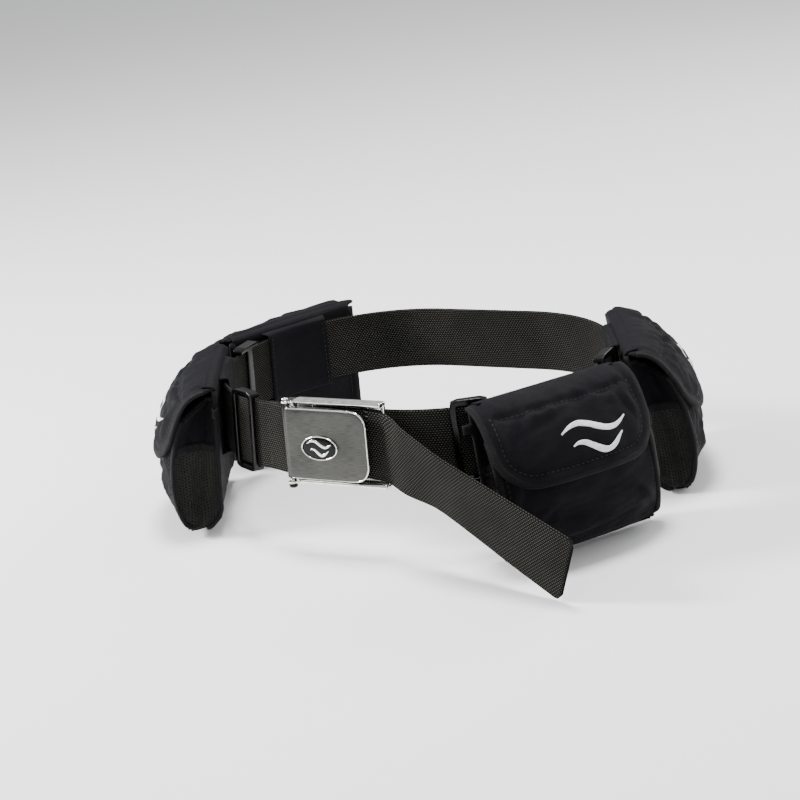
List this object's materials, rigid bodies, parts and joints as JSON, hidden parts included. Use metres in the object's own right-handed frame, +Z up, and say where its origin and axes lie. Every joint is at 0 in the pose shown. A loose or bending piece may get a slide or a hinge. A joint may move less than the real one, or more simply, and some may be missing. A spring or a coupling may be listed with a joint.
{
  "type": "dive weight belt",
  "caption": "Webbing waist belt in its worn loop, with a cam-lever buckle, flap pockets for lead weights, and slide keepers that hold the pockets in place.",
  "frame": {"origin": "centre of the waist loop, at the mid height of the webbing", "axes": "+Z up along the worn loop's axis, -Y towards the front (the buckle), +X towards the wearer's left"},
  "size_m": [0.4128, 0.3035, 0.116],
  "materials": {
    "webbing": "coarse plain-woven nylon webbing, charcoal",
    "nylon": "near-black coated nylon, slightly blue",
    "hook_loop": "black hook-and-loop tape",
    "black_plastic": "black moulded plastic, semi-gloss",
    "steel": "brushed stainless steel",
    "chrome": "polished stainless steel",
    "enamel": "dark glossy enamel with a plain light mark"
  },
  "bodies": {
    "root": {"belt_webbing": "webbing", "buckle_frame": "steel", "buckle_hinge_pin": "chrome"},
    "lever": {"buckle_lever": "steel", "emblem_bezel": "chrome", "emblem_plate": "enamel"},
    "tail": {"belt_tail": "webbing"},
    "keeper_left_front": {"keeper_left_front": "black_plastic"},
    "keeper_left_rear": {"keeper_left_rear": "black_plastic"},
    "keeper_right_front": {"keeper_right_front": "black_plastic"},
    "keeper_right_rear": {"keeper_right_rear": "black_plastic"},
    "pocket_left_front": {"pocket_left_front_back_panel": "nylon", "pocket_left_front_front_panel": "nylon", "pocket_left_front_gusset": "nylon", "pocket_left_front_sleeve": "nylon", "pocket_left_front_loop_patch": "hook_loop"},
    "pocket_left_front_flap": {"pocket_left_front_flap": "nylon", "pocket_left_front_hook_patch": "hook_loop"},
    "pocket_left_rear": {"pocket_left_rear_back_panel": "nylon", "pocket_left_rear_front_panel": "nylon", "pocket_left_rear_gusset": "nylon", "pocket_left_rear_sleeve": "nylon", "pocket_left_rear_loop_patch": "hook_loop"},
    "pocket_left_rear_flap": {"pocket_left_rear_flap": "nylon", "pocket_left_rear_hook_patch": "hook_loop"},
    "pocket_right_front": {"pocket_right_front_back_panel": "nylon", "pocket_right_front_front_panel": "nylon", "pocket_right_front_gusset": "nylon", "pocket_right_front_sleeve": "nylon", "pocket_right_front_loop_patch": "hook_loop"},
    "pocket_right_front_flap": {"pocket_right_front_flap": "nylon", "pocket_right_front_hook_patch": "hook_loop"},
    "pocket_right_rear": {"pocket_right_rear_back_panel": "nylon", "pocket_right_rear_front_panel": "nylon", "pocket_right_rear_gusset": "nylon", "pocket_right_rear_sleeve": "nylon", "pocket_right_rear_loop_patch": "hook_loop"},
    "pocket_right_rear_flap": {"pocket_right_rear_flap": "nylon", "pocket_right_rear_hook_patch": "hook_loop"}
  },
  "joints": [
    {"name": "lever_hinge", "type": "hinge", "parent": "root", "child": "lever", "pos_m": [-0.036, -0.12544, 0.0011], "axis": [0, -0.1045, -0.9945], "range_deg": [0, 120]},
    {"name": "tail_flex", "type": "hinge", "parent": "root", "child": "tail", "pos_m": [0.026, -0.11947, 0.00047], "axis": [0, -0.1045, -0.9945], "range_deg": [0, 25]},
    {"name": "keeper_left_front_slide", "type": "hinge", "parent": "root", "child": "keeper_left_front", "pos_m": [0.04, 0, 0], "axis": [0, 0, 1], "range_deg": [-8, 2]},
    {"name": "keeper_left_rear_slide", "type": "hinge", "parent": "root", "child": "keeper_left_rear", "pos_m": [0.04, 0, 0], "axis": [0, 0, 1], "range_deg": [-6, 5]},
    {"name": "keeper_right_front_slide", "type": "hinge", "parent": "root", "child": "keeper_right_front", "pos_m": [-0.04, 0, 0], "axis": [0, 0, 1], "range_deg": [-8, 5]},
    {"name": "keeper_right_rear_slide", "type": "hinge", "parent": "root", "child": "keeper_right_rear", "pos_m": [-0.04, 0, 0], "axis": [0, 0, 1], "range_deg": [-5, 5]},
    {"name": "pocket_left_front_slide", "type": "hinge", "parent": "root", "child": "pocket_left_front", "pos_m": [0.04, 0, 0], "axis": [0, 0, 1], "range_deg": [-4, 6]},
    {"name": "pocket_left_front_flap_hinge", "type": "hinge", "parent": "pocket_left_front", "child": "pocket_left_front_flap", "pos_m": [0.13672, -0.0621, 0.0293], "axis": [-0.5403, -0.8415, 0], "range_deg": [0, 100]},
    {"name": "pocket_left_rear_slide", "type": "hinge", "parent": "root", "child": "pocket_left_rear", "pos_m": [0.04, 0, 0], "axis": [0, 0, 1], "range_deg": [-5, 10]},
    {"name": "pocket_left_rear_flap_hinge", "type": "hinge", "parent": "pocket_left_rear", "child": "pocket_left_rear_flap", "pos_m": [0.13767, 0.06118, 0.02632], "axis": [0.5309, -0.8474, 0], "range_deg": [0, 100]},
    {"name": "pocket_right_front_slide", "type": "hinge", "parent": "root", "child": "pocket_right_front", "pos_m": [-0.04, 0, 0], "axis": [0, 0, 1], "range_deg": [-1, 6]},
    {"name": "pocket_right_front_flap_hinge", "type": "hinge", "parent": "pocket_right_front", "child": "pocket_right_front_flap", "pos_m": [-0.13932, -0.05784, 0.0293], "axis": [-0.5032, 0.8642, 0], "range_deg": [0, 100]},
    {"name": "pocket_right_rear_slide", "type": "hinge", "parent": "root", "child": "pocket_right_rear", "pos_m": [-0.04, 0, 0], "axis": [0, 0, 1], "range_deg": [-10, 1]},
    {"name": "pocket_right_rear_flap_hinge", "type": "hinge", "parent": "pocket_right_rear", "child": "pocket_right_rear_flap", "pos_m": [-0.14366, 0.04964, 0.0293], "axis": [0.4319, 0.9019, 0], "range_deg": [0, 100]}
  ]
}
